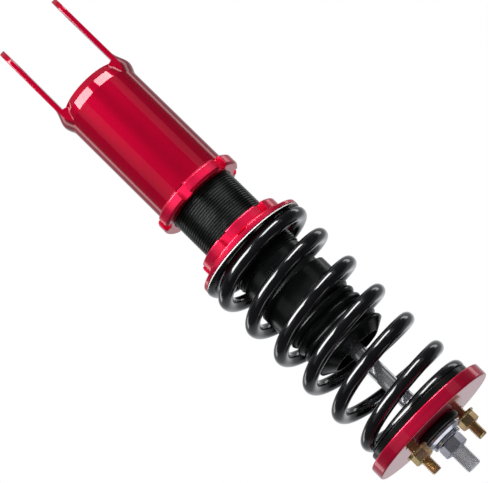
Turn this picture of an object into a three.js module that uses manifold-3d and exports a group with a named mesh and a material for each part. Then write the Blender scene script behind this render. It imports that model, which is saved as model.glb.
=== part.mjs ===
// A height-adjustable coilover: a fork-ended lower bracket screwed onto a threaded damper tube, a coil
// spring between a screwed perch and a round top mount, and the damper that works inside them.
//
// Frame: millimetres, +Z up the damper's axis towards the top mount's studs, X along the fork's bolt.
// The origin is on the axis, at the height of the prong tips. The shock is drawn at full droop.

import * as THREE from "three";
import { mergeVertices } from "three/addons/utils/BufferGeometryUtils.js";
import Module from "manifold-3d";

// ---------------------------------------------------------------- driving dimensions

const GAP = 0.3; // clearance drawn between faces that touch
const CHAMFER = 0.9; // broken edge on turned aluminium pieces
const RUN = 0.4; // radial clearance of a thread or a bore around what it carries

const FORK = { gap: 50, thickness: 4, width: 36, boltHeight: 19, boltHoleRadius: 6.1 };
const CUP = {
  bottom: 69, shoulder: 81, top: 176.3, floorTop: 83, rimRadius: 28.6, radius: 30.7, drainRadius: 4,
};
const EAR = { height: 75, reach: 33.5, halfWidth: 19.5, halfHeight: 11.5, depth: 8 };

const TUBE = {
  radius: 27, plainRadius: 26.4, boreRadius: 23.5, bottom: 97, floor: 6, threadTop: 258, top: 290,
};
const BRACKET_RING = { bottom: 176.6, height: 9.9, radius: 35.75, slotTurn: 40 };
const PERCH_RING = { bottom: 223, height: 8.8, radius: 35.5, slotTurn: 45 };
const SLOTS = { count: 6, width: 7.6, floorRadius: 31 };
const PERCH = {
  bottom: 232.1, hubRadius: 39, hubHeight: 3.1, flangeRadius: 45, flangeTop: 238.1,
  spigotRadius: 33.7, spigotTop: 243.4, slotFloorRadius: 34.5, slotTurn: 25,
};
const SEAT_WASHER = { radius: 44.8, thickness: 0.9 };

const SPRING = {
  coilRadius: 40.25, wireRadius: 5.4, seat: 239.6, top: 403.2, heightAtZero: 239.3,
  startTurn: -100 / 360, endTurn: 2500 / 360, endPitch: 11, pitch: 28.7,
  lowRamp: [170 / 360, 470 / 360], highRamp: [2130 / 360, 2190 / 360],
};

const BOOT = {
  bottom: 278.8, skirtTop: 297.4, top: 343.2, skirtRadius: 30.1, skirtBore: 26.8, bore: 24.8,
  ribCount: 6, firstRib: 301.8, ribPitch: 7, crestRadius: 29.9, valleyRadius: 27.2,
  mouthRadius: 19.6, wall: 1.8,
};
const BUMP_STOP = { height: 38.5, radius: 19.5, waistRadius: 16.5, tipRadius: 13.5, bore: 6.8 };
const ROD = {
  radius: 6.2, bore: 6.55, threadRadius: 6, spigotRadius: 4.8, bottom: 222, shoulder: 251.7, top: 458.3,
};
const GLAND = { bottom: 281.7, top: 291.4 };
const GUIDE = { bottom: 262, recessRadius: 13.4, recessDepth: 7.4 };
const SEAL = { outerRadius: 13, innerRadius: 6.5, height: 6.8 };
const PISTON = { bottom: 237, height: 12, radius: 22.7, bore: 5.1, portRadius: 1.8, portCircle: 14.5 };
const BAND = { innerRadius: 21.3, outerRadius: 23.2, height: 5.4 };
const SHIMS = { count: 3, thickness: 0.6, radius: 19.5, step: 3.6 };
const PISTON_NUT = { flats: 17, height: 8 };
const FLOATING_PISTON = { bottom: 150, height: 10, radius: 23.1, dishRadius: 15, dishDepth: 4.5 };
const O_RING = { innerRadius: 21.4, outerRadius: 23.25, height: 2.4 };

const PLATE = { bottom: 409.3, thickness: 10, radius: 51.5, bushBore: 14 };
const ISOLATOR = { radius: 45, bore: 24, lipRadius: 33.7, lipBottom: 398.6 };
const STUD = { x: 19.8, y: -28.8, radius: 4, headRadius: 6.6, headHeight: 3.4, standsUp: 25.8 };
const STUD_NUT = { lift: 5.4, flats: 13, height: 9, flangeRadius: 8.75, flangeHeight: 1.5 };
const BUSH = { lowerRadius: 20.5, lowerHeight: 7.4, upperRadius: 18.5, upperHeight: 5.9, bore: 8.6 };
const SLEEVE = { outerRadius: 8.3, innerRadius: 6.4, bottom: 401.5, top: 425.6 };
const LOWER_WASHER = { radius: 19, thickness: 1.8 };
const CIRCLIP = { radius: 8.6, thickness: 1.2, grooveRadius: 5.3 };
const CUP_WASHER = { radius: 15.5, crownRadius: 12.6, height: 4.2, rim: 2.1 };
const FLAT_WASHER = { radius: 11.5, thickness: 2.4 };
const ROD_NUT = { flats: 17, height: 8.9 };

// Facets round a circle. Each is a multiple of four, so a disc reaches its full radius along X and Y.
const FACETS = { large: 36, medium: 24, inner: 20, small: 12 };

// ---------------------------------------------------------------- finishes

const finish = (color, metalness, roughness) =>
  new THREE.MeshStandardMaterial({ color, metalness, roughness });

const candyRed = finish(0xb8041f, 0.6, 0.25);
const redAnodised = finish(0xc4062a, 0.8, 0.3);
const blackThread = finish(0x101312, 0.5, 0.45);
const blackCoat = finish(0x070707, 0.1, 0.15);
const blackRubber = finish(0x121413, 0, 0.6);
const chrome = finish(0xdfe4ea, 1, 0.08);
const brightZinc = finish(0xc9ced8, 0.95, 0.25);
const yellowZinc = finish(0xc79a4a, 0.9, 0.3);
const bareSteel = finish(0x8a8d90, 0.9, 0.35);
const bareAluminium = finish(0xb5b8ba, 0.9, 0.4);
const whiteNylon = finish(0xf0efe8, 0, 0.4);
const urethane = finish(0xd9c24a, 0, 0.7);

// ---------------------------------------------------------------- geometry helpers

const wasm = await Module();
wasm.setup();

/** Turns a closed three.js geometry into a manifold-3d solid. */
function solid(geometry) {
  const bare = geometry.clone();
  bare.deleteAttribute("normal");
  bare.deleteAttribute("uv");
  const merged = mergeVertices(bare, 1e-4);
  return new wasm.Manifold(new wasm.Mesh({
    numProp: 3,
    vertProperties: new Float32Array(merged.attributes.position.array),
    triVerts: new Uint32Array(merged.index.array),
  }));
}

/** Turns a manifold-3d solid back into a three.js geometry. */
function geometryOf(body) {
  const mesh = body.getMesh();
  const geometry = new THREE.BufferGeometry();
  geometry.setAttribute("position", new THREE.BufferAttribute(mesh.vertProperties, 3));
  geometry.setIndex(new THREE.BufferAttribute(mesh.triVerts, 1));
  geometry.computeVertexNormals();
  return geometry;
}

/** Joins and cuts: every geometry in added is joined, then every geometry in removed is cut away. */
function carved(added, removed = []) {
  let body = solid(added[0]);
  for (const piece of added.slice(1)) body = body.add(solid(piece));
  for (const piece of removed) body = body.subtract(solid(piece));
  return geometryOf(body);
}

/** A piece turned on the Z axis from an outline of [radius, height] corners, in either direction. */
function turned(outline, facets = FACETS.medium) {
  const points = outline.map(([radius, height]) => new THREE.Vector2(radius, height));
  if (outline.some(([radius]) => radius === 0) === false) points.push(points[0].clone());
  if (THREE.ShapeUtils.area(points) < 0) points.reverse();
  return new THREE.LatheGeometry(points, facets).rotateX(Math.PI / 2);
}

/** A plain ring or sleeve with its outer edges broken by a chamfer. */
function ring(inner, outer, bottom, top, facets = FACETS.medium, chamfer = 0) {
  const outline = [[inner, bottom], [outer - chamfer, bottom]];
  if (chamfer > 0) outline.push([outer, bottom + chamfer], [outer, top - chamfer]);
  outline.push([outer - chamfer, top], [inner, top]);
  return turned(outline, facets);
}

/** A solid disc or rod on the Z axis. */
const disc = (radius, bottom, top, facets = FACETS.medium) =>
  turned([[0, bottom], [radius, bottom], [radius, top], [0, top]], facets);

/** A box given by its centre and its size. */
const block = (x, y, z, width, depth, height) =>
  new THREE.BoxGeometry(width, depth, height).translate(x, y, z);

/** A hexagon nut blank on the Z axis, given by its size across flats, with a flat towards -Y. */
function hexagon(flats, bottom, top) {
  const cornerRadius = flats / Math.sqrt(3);
  return new THREE.CylinderGeometry(cornerRadius, cornerRadius, top - bottom, 6)
    .rotateX(Math.PI / 2)
    .rotateZ(Math.PI / 6)
    .translate(0, 0, (top + bottom) / 2);
}

/** Spanner slots round a ring: upright blocks from a floor radius outwards. */
function spannerSlots(floorRadius, outerRadius, bottom, top, firstTurn) {
  const depth = outerRadius - floorRadius + 2;
  const slots = [];
  for (let i = 0; i < SLOTS.count; i += 1) {
    const turn = THREE.MathUtils.degToRad(firstTurn + (i * 360) / SLOTS.count);
    slots.push(
      block(floorRadius + depth / 2, 0, (bottom + top) / 2, depth, SLOTS.width, top - bottom)
        .rotateZ(turn),
    );
  }
  return slots;
}

// ---------------------------------------------------------------- lower bracket and lock rings

/** A prong: a flat bar on the +X side with a fully rounded tip. */
function prong() {
  const half = FORK.width / 2;
  const outline = new THREE.Shape();
  outline.moveTo(-half, EAR.height);
  outline.lineTo(-half, half);
  outline.absarc(0, half, half, Math.PI, 2 * Math.PI, false);
  outline.lineTo(half, EAR.height);
  outline.closePath();
  return new THREE.ExtrudeGeometry(outline, {
    depth: FORK.thickness, bevelEnabled: false, curveSegments: 6,
  })
    .rotateX(Math.PI / 2)
    .rotateZ(Math.PI / 2)
    .translate(FORK.gap / 2, 0, 0);
}

/** The forged ear where a prong runs into the cup, as a flattened ball on the +X side. */
const ear = () =>
  new THREE.SphereGeometry(1, 12, 8)
    .scale(EAR.depth, EAR.halfWidth, EAR.halfHeight)
    .translate(EAR.reach - EAR.depth, 0, EAR.height);

function lowerBracket() {
  const cup = turned([
    [0, CUP.bottom], [CUP.rimRadius, CUP.bottom], [CUP.radius, CUP.shoulder],
    [CUP.radius, CUP.top], [0, CUP.top],
  ], FACETS.large);
  const otherSide = (geometry) => geometry.rotateZ(Math.PI);
  const boltHole = new THREE.CylinderGeometry(FORK.boltHoleRadius, FORK.boltHoleRadius, 100, FACETS.inner)
    .rotateZ(Math.PI / 2)
    .translate(0, 0, FORK.boltHeight);
  return carved(
    [cup, ear(), otherSide(ear()), prong(), otherSide(prong())],
    [
      disc(TUBE.radius + RUN, CUP.floorTop, CUP.top + 1, FACETS.large),
      disc(CUP.drainRadius, CUP.bottom - 1, CUP.floorTop + 1, FACETS.small),
      block(0, 0, CUP.bottom / 2 - 1, FORK.gap, 60, CUP.bottom + 2),
      boltHole,
    ],
  );
}

/** A slotted lock ring that screws along the tube. */
function lockRing({ bottom, height, radius, slotTurn }) {
  const top = bottom + height;
  return carved(
    [ring(TUBE.radius + RUN, radius, bottom, top, FACETS.large, CHAMFER)],
    spannerSlots(SLOTS.floorRadius, radius, bottom - 1, top + 1, slotTurn),
  );
}

function springPerch() {
  const hubTop = PERCH.bottom + PERCH.hubHeight;
  const blank = turned([
    [TUBE.radius + RUN, PERCH.bottom], [PERCH.hubRadius, PERCH.bottom], [PERCH.hubRadius, hubTop],
    [PERCH.flangeRadius, hubTop], [PERCH.flangeRadius, PERCH.flangeTop - CHAMFER],
    [PERCH.flangeRadius - CHAMFER, PERCH.flangeTop], [PERCH.spigotRadius, PERCH.flangeTop],
    [PERCH.spigotRadius, PERCH.spigotTop - CHAMFER],
    [PERCH.spigotRadius - CHAMFER, PERCH.spigotTop], [TUBE.radius + RUN, PERCH.spigotTop],
  ], FACETS.large);
  return carved(
    [blank],
    spannerSlots(PERCH.slotFloorRadius, PERCH.hubRadius, PERCH.bottom - 1, hubTop, PERCH.slotTurn),
  );
}

const seatWasher = () => {
  const bottom = PERCH.flangeTop + GAP;
  const top = bottom + SEAT_WASHER.thickness;
  return ring(PERCH.spigotRadius + GAP, SEAT_WASHER.radius, bottom, top, FACETS.large);
};

// ---------------------------------------------------------------- spring

/** The right-hand helix of the wire's centre, whose pitch closes up at both ends. */
class WireCentre extends THREE.Curve {
  getPoint(share, target = new THREE.Vector3()) {
    const turn = THREE.MathUtils.lerp(SPRING.startTurn, SPRING.endTurn, share);
    const angle = turn * 2 * Math.PI;
    return target.set(
      SPRING.coilRadius * Math.cos(angle),
      SPRING.coilRadius * Math.sin(angle),
      SPRING.heightAtZero + SPRING.endPitch * turn + openedHeight(turn),
    );
  }
}

/** What the open coils add to the closed pitch, up to a turn: the two ramps are parabolas. */
function openedHeight(turn) {
  const [lowStart, lowEnd] = SPRING.lowRamp;
  const [highStart, highEnd] = SPRING.highRamp;
  const ramp = (at, start, end) => {
    const inside = THREE.MathUtils.clamp(at, start, end) - start;
    return inside ** 2 / (2 * (end - start)) + Math.max(at - end, 0);
  };
  const opened = ramp(turn, lowStart, lowEnd) - ramp(turn, highStart, highEnd);
  return (SPRING.pitch - SPRING.endPitch) * opened;
}

/** The wire, with both ends ground flat where they meet their seats. */
function coilSpring() {
  const stepsPerTurn = 16;
  const sidesPerHalf = 4;
  const section = new THREE.Shape();
  section.absarc(0, 0, SPRING.wireRadius, 0, 2 * Math.PI, false);
  const wire = new THREE.ExtrudeGeometry(section, {
    steps: Math.round((SPRING.endTurn - SPRING.startTurn) * stepsPerTurn),
    curveSegments: sidesPerHalf, bevelEnabled: false, extrudePath: new WireCentre(),
  });
  const between = disc(SPRING.coilRadius * 2, SPRING.seat, SPRING.top, FACETS.small);
  return geometryOf(solid(wire).intersect(solid(between)));
}

// ---------------------------------------------------------------- damper

function threadedTube() {
  return turned([
    [0, TUBE.bottom], [TUBE.radius - CHAMFER, TUBE.bottom], [TUBE.radius, TUBE.bottom + CHAMFER],
    [TUBE.radius, TUBE.threadTop], [TUBE.plainRadius, TUBE.threadTop], [TUBE.plainRadius, TUBE.top],
    [TUBE.boreRadius, TUBE.top], [TUBE.boreRadius, TUBE.bottom + TUBE.floor],
    [0, TUBE.bottom + TUBE.floor],
  ], FACETS.large);
}

const glandNut = () =>
  ring(ROD.bore, TUBE.boreRadius - GAP, GLAND.bottom, GLAND.top, FACETS.large, CHAMFER);

function rodGuide() {
  const top = GLAND.bottom - GAP;
  return turned([
    [ROD.bore, GUIDE.bottom], [TUBE.boreRadius - GAP, GUIDE.bottom], [TUBE.boreRadius - GAP, top],
    [GUIDE.recessRadius, top], [GUIDE.recessRadius, top - GUIDE.recessDepth],
    [ROD.bore, top - GUIDE.recessDepth],
  ], FACETS.large);
}

const rodSeal = () => {
  const top = GLAND.bottom - 2 * GAP;
  return ring(SEAL.innerRadius, SEAL.outerRadius, top - SEAL.height, top);
};

function pistonRod() {
  const grooveTop = SLEEVE.bottom - LOWER_WASHER.thickness - 2 * GAP;
  const grooveBottom = grooveTop - CIRCLIP.thickness - 2 * GAP;
  return turned([
    [0, ROD.bottom], [ROD.spigotRadius, ROD.bottom], [ROD.spigotRadius, ROD.shoulder],
    [ROD.radius, ROD.shoulder], [ROD.radius, grooveBottom], [CIRCLIP.grooveRadius, grooveBottom],
    [CIRCLIP.grooveRadius, grooveTop], [ROD.threadRadius, grooveTop],
    [ROD.threadRadius, ROD.top - CHAMFER], [ROD.threadRadius - CHAMFER, ROD.top], [0, ROD.top],
  ]);
}

function piston() {
  const top = PISTON.bottom + PISTON.height;
  const middle = PISTON.bottom + PISTON.height / 2;
  const grooveHalf = BAND.height / 2 + GAP;
  const grooveRadius = BAND.innerRadius - GAP;
  const blank = turned([
    [PISTON.bore, PISTON.bottom], [PISTON.radius, PISTON.bottom],
    [PISTON.radius, middle - grooveHalf], [grooveRadius, middle - grooveHalf],
    [grooveRadius, middle + grooveHalf], [PISTON.radius, middle + grooveHalf],
    [PISTON.radius, top], [PISTON.bore, top],
  ], FACETS.inner);
  const ports = [];
  for (let i = 0; i < 6; i += 1) {
    const port = disc(PISTON.portRadius, PISTON.bottom - 1, top + 1, 8);
    ports.push(port.translate(PISTON.portCircle, 0, 0).rotateZ((i * Math.PI) / 3));
  }
  return carved([blank], ports);
}

const pistonBand = () => {
  const middle = PISTON.bottom + PISTON.height / 2;
  const half = BAND.height / 2;
  return ring(BAND.innerRadius, BAND.outerRadius, middle - half, middle + half, FACETS.inner);
};

/** A stack of thin disc valves that narrows away from the piston; side is +1 above it, -1 below. */
function shimStack(side) {
  const face = side > 0 ? PISTON.bottom + PISTON.height : PISTON.bottom;
  const start = face + side * GAP;
  const outline = [[PISTON.bore, start]];
  for (let i = 0; i < SHIMS.count; i += 1) {
    const radius = SHIMS.radius - i * SHIMS.step;
    outline.push([radius, start + side * i * SHIMS.thickness]);
    outline.push([radius, start + side * (i + 1) * SHIMS.thickness]);
  }
  outline.push([PISTON.bore, start + side * SHIMS.count * SHIMS.thickness]);
  return turned(outline, FACETS.inner);
}

function pistonNut() {
  const top = PISTON.bottom - 2 * GAP - SHIMS.count * SHIMS.thickness;
  const bottom = top - PISTON_NUT.height;
  return carved(
    [hexagon(PISTON_NUT.flats, bottom, top)],
    [disc(PISTON.bore, bottom - 1, top + 1, FACETS.small)],
  );
}

function floatingPiston() {
  const top = FLOATING_PISTON.bottom + FLOATING_PISTON.height;
  const middle = FLOATING_PISTON.bottom + FLOATING_PISTON.height / 2;
  const grooveHalf = O_RING.height / 2 + GAP;
  const grooveRadius = O_RING.innerRadius - GAP;
  return turned([
    [0, FLOATING_PISTON.bottom], [FLOATING_PISTON.radius, FLOATING_PISTON.bottom],
    [FLOATING_PISTON.radius, middle - grooveHalf], [grooveRadius, middle - grooveHalf],
    [grooveRadius, middle + grooveHalf], [FLOATING_PISTON.radius, middle + grooveHalf],
    [FLOATING_PISTON.radius, top], [FLOATING_PISTON.dishRadius, top],
    [FLOATING_PISTON.dishRadius, top - FLOATING_PISTON.dishDepth],
    [0, top - FLOATING_PISTON.dishDepth],
  ], FACETS.inner);
}

const floatingPistonORing = () => {
  const middle = FLOATING_PISTON.bottom + FLOATING_PISTON.height / 2;
  const half = O_RING.height / 2;
  return ring(O_RING.innerRadius, O_RING.outerRadius, middle - half, middle + half, FACETS.inner);
};

// ---------------------------------------------------------------- boot and bump stop

/** A skirt over the tube's top, then round ribs, then a cone with an open mouth round the rod. */
function dustBoot() {
  const outline = [
    [BOOT.skirtBore, BOOT.bottom], [BOOT.skirtRadius, BOOT.bottom], [BOOT.skirtRadius, BOOT.skirtTop],
  ];
  for (let i = 0; i < BOOT.ribCount; i += 1) {
    const crest = BOOT.firstRib + i * BOOT.ribPitch;
    outline.push([BOOT.valleyRadius, crest - BOOT.ribPitch / 2]);
    outline.push([BOOT.crestRadius, crest]);
  }
  const coneBottom = BOOT.firstRib + (BOOT.ribCount - 1) * BOOT.ribPitch;
  outline.push([BOOT.mouthRadius + BOOT.wall / 2, BOOT.top], [BOOT.mouthRadius, BOOT.top]);
  outline.push([BOOT.mouthRadius, BOOT.top - BOOT.wall], [BOOT.bore, coneBottom]);
  outline.push([BOOT.bore, TUBE.top + 2], [BOOT.skirtBore, TUBE.top + 1]);
  return turned(outline, 28);
}

function bumpStop() {
  const bottom = GLAND.top + GAP;
  const top = bottom + BUMP_STOP.height;
  const waist = bottom + BUMP_STOP.height * 0.45;
  return turned([
    [BUMP_STOP.bore, bottom], [BUMP_STOP.radius, bottom], [BUMP_STOP.radius, waist - 5],
    [BUMP_STOP.waistRadius, waist], [BUMP_STOP.radius - 2, waist + 5],
    [BUMP_STOP.tipRadius, top], [BUMP_STOP.bore, top],
  ]);
}

// ---------------------------------------------------------------- top mount

const plateTop = PLATE.bottom + PLATE.thickness;
const studTurns = [0, Math.PI];

const atStud = (geometry, turn) => geometry.translate(STUD.x, STUD.y, 0).rotateZ(turn);

function topPlate() {
  const blank = ring(PLATE.bushBore, PLATE.radius, PLATE.bottom, plateTop, FACETS.large, CHAMFER);
  const shelf = PLATE.bottom + STUD.headHeight + 2 * GAP;
  const holes = [];
  for (const turn of studTurns) {
    holes.push(atStud(disc(STUD.headRadius + GAP, PLATE.bottom - 1, shelf), turn));
    holes.push(atStud(disc(STUD.radius + RUN, shelf - 1, plateTop + 1, FACETS.small), turn));
  }
  return carved([blank], holes);
}

/** A pressed stud: its flat head lies in the plate's underside. */
function stud(turn) {
  const bottom = PLATE.bottom + GAP;
  const shoulder = bottom + STUD.headHeight;
  const top = plateTop + STUD.standsUp;
  return atStud(turned([
    [0, bottom], [STUD.headRadius, bottom], [STUD.headRadius, shoulder], [STUD.radius, shoulder],
    [STUD.radius, top - CHAMFER], [STUD.radius - CHAMFER, top], [0, top],
  ], FACETS.small), turn);
}

function studNut(turn) {
  const bottom = plateTop + STUD_NUT.lift;
  const top = bottom + STUD_NUT.height;
  const flange = disc(STUD_NUT.flangeRadius, bottom, bottom + STUD_NUT.flangeHeight);
  return atStud(carved(
    [flange, hexagon(STUD_NUT.flats, bottom + 0.5, top)],
    [disc(STUD.radius + RUN, bottom - 1, top + 1, FACETS.small)],
  ), turn);
}

function upperIsolator() {
  const bottom = SPRING.top + GAP;
  const top = PLATE.bottom - GAP;
  return turned([
    [ISOLATOR.bore, ISOLATOR.lipBottom], [ISOLATOR.lipRadius, ISOLATOR.lipBottom],
    [ISOLATOR.lipRadius, bottom], [ISOLATOR.radius, bottom], [ISOLATOR.radius, top],
    [ISOLATOR.bore, top],
  ], FACETS.large);
}

const bushSpigotRadius = PLATE.bushBore - RUN;
const bushSplit = PLATE.bottom + PLATE.thickness / 2;

function lowerBush() {
  const bottom = SLEEVE.bottom;
  const shoulder = bottom + BUSH.lowerHeight;
  return turned([
    [BUSH.bore, bottom], [BUSH.lowerRadius - 2, bottom], [BUSH.lowerRadius, bottom + 2],
    [BUSH.lowerRadius, shoulder], [bushSpigotRadius, shoulder],
    [bushSpigotRadius, bushSplit - GAP / 2], [BUSH.bore, bushSplit - GAP / 2],
  ]);
}

function upperBush() {
  const shoulder = plateTop + GAP;
  const top = shoulder + BUSH.upperHeight;
  return turned([
    [BUSH.bore, bushSplit + GAP / 2], [bushSpigotRadius, bushSplit + GAP / 2],
    [bushSpigotRadius, shoulder], [BUSH.upperRadius - 1.5, shoulder],
    [BUSH.upperRadius, shoulder + 1.5], [BUSH.upperRadius, top - 2], [BUSH.upperRadius - 2, top],
    [BUSH.bore, top],
  ]);
}

const bushSleeve = () => ring(SLEEVE.innerRadius, SLEEVE.outerRadius, SLEEVE.bottom, SLEEVE.top);

const lowerWasher = () => {
  const top = SLEEVE.bottom - GAP;
  return ring(SLEEVE.innerRadius, LOWER_WASHER.radius, top - LOWER_WASHER.thickness, top);
};

const rodCirclip = () => {
  const top = SLEEVE.bottom - LOWER_WASHER.thickness - 3 * GAP;
  return ring(CIRCLIP.grooveRadius + GAP, CIRCLIP.radius, top - CIRCLIP.thickness, top);
};

const cupWasherBottom = SLEEVE.top + GAP;
const flatWasherBottom = cupWasherBottom + CUP_WASHER.height + GAP;
const rodNutBottom = flatWasherBottom + FLAT_WASHER.thickness + GAP;

const cupWasher = () =>
  turned([
    [SLEEVE.innerRadius, cupWasherBottom], [CUP_WASHER.radius, cupWasherBottom],
    [CUP_WASHER.radius, cupWasherBottom + CUP_WASHER.rim],
    [CUP_WASHER.crownRadius, cupWasherBottom + CUP_WASHER.height],
    [SLEEVE.innerRadius, cupWasherBottom + CUP_WASHER.height],
  ]);

const flatWasher = () => {
  const top = flatWasherBottom + FLAT_WASHER.thickness;
  return ring(SLEEVE.innerRadius, FLAT_WASHER.radius, flatWasherBottom, top);
};

const rodNut = () =>
  carved(
    [hexagon(ROD_NUT.flats, rodNutBottom, rodNutBottom + ROD_NUT.height)],
    [disc(SLEEVE.innerRadius, rodNutBottom - 1, rodNutBottom + ROD_NUT.height + 1)],
  );

// ---------------------------------------------------------------- assembly

const coilover = new THREE.Group();

function place(name, geometry, material) {
  const mesh = new THREE.Mesh(geometry, material);
  mesh.name = name;
  coilover.add(mesh);
}

place("lower_bracket", lowerBracket(), candyRed);
place("bracket_lock_ring", lockRing(BRACKET_RING), redAnodised);
place("perch_lock_ring", lockRing(PERCH_RING), redAnodised);
place("spring_perch", springPerch(), redAnodised);
place("spring_seat_washer", seatWasher(), whiteNylon);
place("coil_spring", coilSpring(), blackCoat);

place("threaded_tube", threadedTube(), blackThread);
place("gland_nut", glandNut(), bareAluminium);
place("rod_guide", rodGuide(), bareAluminium);
place("rod_seal", rodSeal(), blackRubber);
place("piston_rod", pistonRod(), chrome);
place("piston", piston(), bareAluminium);
place("piston_band", pistonBand(), whiteNylon);
place("compression_shims", shimStack(1), bareSteel);
place("rebound_shims", shimStack(-1), bareSteel);
place("piston_nut", pistonNut(), bareSteel);
place("floating_piston", floatingPiston(), bareAluminium);
place("floating_piston_o_ring", floatingPistonORing(), blackRubber);
place("dust_boot", dustBoot(), blackRubber);
place("bump_stop", bumpStop(), urethane);

place("upper_isolator", upperIsolator(), blackRubber);
place("top_plate", topPlate(), redAnodised);
place("lower_bush", lowerBush(), blackRubber);
place("upper_bush", upperBush(), blackRubber);
place("bush_sleeve", bushSleeve(), bareSteel);
place("lower_washer", lowerWasher(), brightZinc);
place("rod_circlip", rodCirclip(), bareSteel);
place("cup_washer", cupWasher(), brightZinc);
place("flat_washer", flatWasher(), brightZinc);
place("rod_nut", rodNut(), brightZinc);
studTurns.forEach((turn, i) => {
  place(`stud_${i + 1}`, stud(turn), yellowZinc);
  place(`stud_nut_${i + 1}`, studNut(turn), yellowZinc);
});

export default coilover;
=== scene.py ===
# %% [markdown]
# # A height-adjustable coilover
# A coilover is a damper with a coil spring wound round it. The lower end is a fork that straddles a
# suspension arm, and the upper end is a round plate whose studs pass through the car's body. The packed
# model gives every size and place. This script gives each piece its finished shape and surface.

# %% Load the frame
import math

import bmesh
import bpy
from mathutils import Matrix, Vector


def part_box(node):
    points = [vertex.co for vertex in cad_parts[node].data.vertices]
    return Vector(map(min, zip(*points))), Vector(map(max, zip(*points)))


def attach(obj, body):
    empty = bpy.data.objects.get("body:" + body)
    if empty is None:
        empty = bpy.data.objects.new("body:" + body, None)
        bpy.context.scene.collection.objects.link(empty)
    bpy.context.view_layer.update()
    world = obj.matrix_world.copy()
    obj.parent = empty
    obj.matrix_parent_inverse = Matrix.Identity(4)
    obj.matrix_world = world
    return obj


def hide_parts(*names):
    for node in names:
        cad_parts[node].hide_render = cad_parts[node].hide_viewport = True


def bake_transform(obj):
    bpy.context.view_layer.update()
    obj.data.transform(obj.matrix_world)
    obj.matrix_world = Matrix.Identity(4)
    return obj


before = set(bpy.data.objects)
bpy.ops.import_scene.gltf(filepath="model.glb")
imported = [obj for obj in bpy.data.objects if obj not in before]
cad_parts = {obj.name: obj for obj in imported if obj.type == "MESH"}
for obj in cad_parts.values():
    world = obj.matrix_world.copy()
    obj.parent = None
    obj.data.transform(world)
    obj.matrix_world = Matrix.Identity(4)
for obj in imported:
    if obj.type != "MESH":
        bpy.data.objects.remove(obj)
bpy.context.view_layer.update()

# %% [markdown]
# ## Sizes
# Outlines read best in millimetres, so the shapes below are drawn in millimetres and turned into metres
# when a mesh is made. The radius, bottom and top of each piece come from its box in the frame; only the
# small shapes that the frame doesn't know, such as fillets and grooves, are given here.

# %% Sizes of a round node
MM = 0.001
WELD = 2e-6  # metres between points that count as one
FULL_TURN = 2 * math.pi


def span(node):
    """Radius, bottom and top of a round node that stands on the Z axis, in millimetres."""
    low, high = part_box(node)
    return high.x / MM, low.z / MM, high.z / MM


print("top plate radius, bottom, top:", [round(size, 1) for size in span("top_plate")])

# %% [markdown]
# ## Turned shapes
# Most of a damper comes off a lathe, so its pieces are outlines turned round the Z axis. An outline is a
# list of corners, and a corner may carry a fillet. Drawing the fillets into the outline, and not with a
# bevel afterwards, keeps every highlight line even all the way round.

# %% Outlines with rounded corners


def rounded(corners, steps=4):
    """Puts an arc into each (radius, height, fillet) corner; a corner without a fillet stays sharp."""
    points = []
    for i, (radius, height, *fillet) in enumerate(corners):
        here = Vector((radius, height))
        if not fillet:
            points.append(here)
            continue
        back = (Vector(corners[i - 1][:2]) - here).normalized()
        ahead = (Vector(corners[(i + 1) % len(corners)][:2]) - here).normalized()
        half = math.acos(max(-1, min(1, back.dot(ahead)))) / 2
        centre = here + (back + ahead).normalized() * fillet[0] / math.sin(half)
        start = here + back * fillet[0] / math.tan(half) - centre
        end = here + ahead * fillet[0] / math.tan(half) - centre
        sweep = math.atan2(start.x * end.y - start.y * end.x, start.dot(end))
        for k in range(steps + 1):
            turn = math.atan2(start.y, start.x) + sweep * k / steps
            points.append(centre + fillet[0] * Vector((math.cos(turn), math.sin(turn))))
    return points


def ring_outline(bore, radius, bottom, top, fillet=0.5, inner_fillet=0.3):
    """The outline of a plain ring, with broken edges."""
    return [
        (bore, bottom, inner_fillet), (radius, bottom, fillet),
        (radius, top, fillet), (bore, top, inner_fillet),
    ]


# %% Skin rows of points, and turn an outline


def upright(outline, turn):
    """The points of an outline that stands at a turn round the Z axis."""
    return [Vector((r * math.cos(turn), r * math.sin(turn), z)) for r, z in outline]


def as_object(name, shape):
    """Closes the seams of a bmesh, points its faces outwards and makes it an object."""
    bmesh.ops.remove_doubles(shape, verts=shape.verts, dist=WELD)
    on_axis = [edge for edge in shape.edges if edge.is_wire]
    bmesh.ops.delete(shape, geom=on_axis, context="EDGES")
    bmesh.ops.recalc_face_normals(shape, faces=shape.faces)
    mesh = bpy.data.meshes.new(name)
    shape.to_mesh(mesh)
    shape.free()
    made = bpy.data.objects.new(name, mesh)
    bpy.context.scene.collection.objects.link(made)
    return made


def skinned(name, rows, closed=True, round_again=True):
    """Skins rows of points. closed joins each row's ends, round_again joins the last row to the first."""
    shape = bmesh.new()
    lines = [[shape.verts.new(point * MM) for point in row] for row in rows]
    count = len(lines[0])
    for here, there in zip(lines, lines[1:] + lines[:1] if round_again else lines[1:]):
        for i in range(count if closed else count - 1):
            j = (i + 1) % count
            shape.faces.new((here[i], there[i], there[j], here[j]))
    return as_object(name, shape)


def turned(name, corners, segments=128, closed=True, steps=4):
    """Turns an outline of corners round the Z axis."""
    outline = rounded(corners, steps)
    rows = [upright(outline, FULL_TURN * i / segments) for i in range(segments)]
    return skinned(name, rows, closed=closed)


# %% [markdown]
# ## Geometry Nodes for what repeats and what winds
# Three rules make the rest. A tooth, a flat of a nut or a stud is drawn once and repeated round the axis.
# A thread is one narrow strip that climbs round a cylinder. The spring is a wire along a helix whose
# pitch closes up at both ends. Each rule is a node tree with named sizes, so one tree serves many pieces.

# %% Helpers that write a tree


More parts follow.
